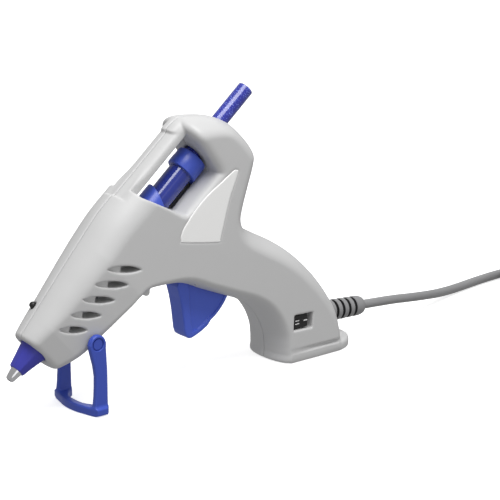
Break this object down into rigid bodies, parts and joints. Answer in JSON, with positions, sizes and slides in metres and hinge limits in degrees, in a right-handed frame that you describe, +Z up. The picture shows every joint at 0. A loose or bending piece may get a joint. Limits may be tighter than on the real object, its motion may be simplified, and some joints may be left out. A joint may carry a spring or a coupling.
{
  "type": "hot glue gun",
  "caption": "Small hobby hot glue gun with swinging trigger, sliding stick feed seen through a window, folding front stand, heat switch, ribbed strain relief and mains cord.",
  "frame": {"origin": "middle of the object's footprint box on the bench, cord left out", "axes": "+Z up, nozzle towards -X, -Y is the side with the label and the switch"},
  "size_m": [0.3606, 0.0609, 0.1261],
  "materials": {
    "housing": "fine satin moulding",
    "steel": "zinc plated",
    "label": "plain printed film",
    "black_plastic": "satin",
    "nozzle_metal": "polished",
    "blue_rubber": "soft satin",
    "aluminium": "die cast",
    "ceramic": "matte",
    "paper": "film",
    "silicone": "matte",
    "blue_plastic": "semi-gloss",
    "black_rubber": "matte",
    "glue": "glitter",
    "wire_sleeve": "silicone sleeve",
    "grey_vinyl": "satin vinyl",
    "brass": "nickel plated"
  },
  "bodies": {
    "body": {"left_housing": "housing", "right_housing": "housing", "housing_screws": "steel", "label_plate": "label", "indicator_lamp": "black_plastic", "nozzle": "nozzle_metal", "nozzle_cover": "blue_rubber", "melt_chamber": "aluminium", "heater": "ceramic", "insulation": "paper", "heater_clip": "steel", "inlet_sleeve": "silicone", "sleeve_clamp": "steel", "guide_tube": "blue_plastic", "trigger_pin": "steel", "stand_pins": "blue_plastic", "switch_body": "black_plastic", "cord_clamp": "black_plastic", "wiring": "wire_sleeve", "strain_relief": "grey_vinyl", "cord": "grey_vinyl", "cord_coil": "grey_vinyl", "cord_tie": "black_plastic", "plug_body": "grey_vinyl", "plug_pins": "brass"},
    "trigger": {"trigger": "blue_plastic", "trigger_spring": "steel"},
    "carriage": {"feed_carriage": "blue_plastic", "gripper": "black_rubber", "glue_stick": "glue", "drive_pin": "steel"},
    "stand": {"stand": "blue_plastic"},
    "slider": {"switch_slider": "black_plastic"}
  },
  "joints": [
    {"name": "trigger_swing", "type": "hinge", "parent": "body", "child": "trigger", "pos_m": [-0.008, 0, 0.0465], "axis": [0, -1, 0], "range_deg": [0, 20], "stiffness_Nm_per_rad": 0.1, "springref_deg": -8.59},
    {"name": "carriage_slide", "type": "slide", "parent": "body", "child": "carriage", "axis": [-0.7604, 0, -0.6494], "range_m": [0, 0.0081]},
    {"name": "stand_fold", "type": "hinge", "parent": "body", "child": "stand", "pos_m": [-0.0615, 0, 0.031], "axis": [0, -1, 0], "range_deg": [0, 108]},
    {"name": "switch_slide", "type": "slide", "parent": "body", "child": "slider", "axis": [1, 0, 0], "range_m": [0, 0.002]}
  ],
  "couplings": [
    {"joint": "trigger_swing", "follows": "carriage_slide", "rad_per_m": 43.035}
  ]
}
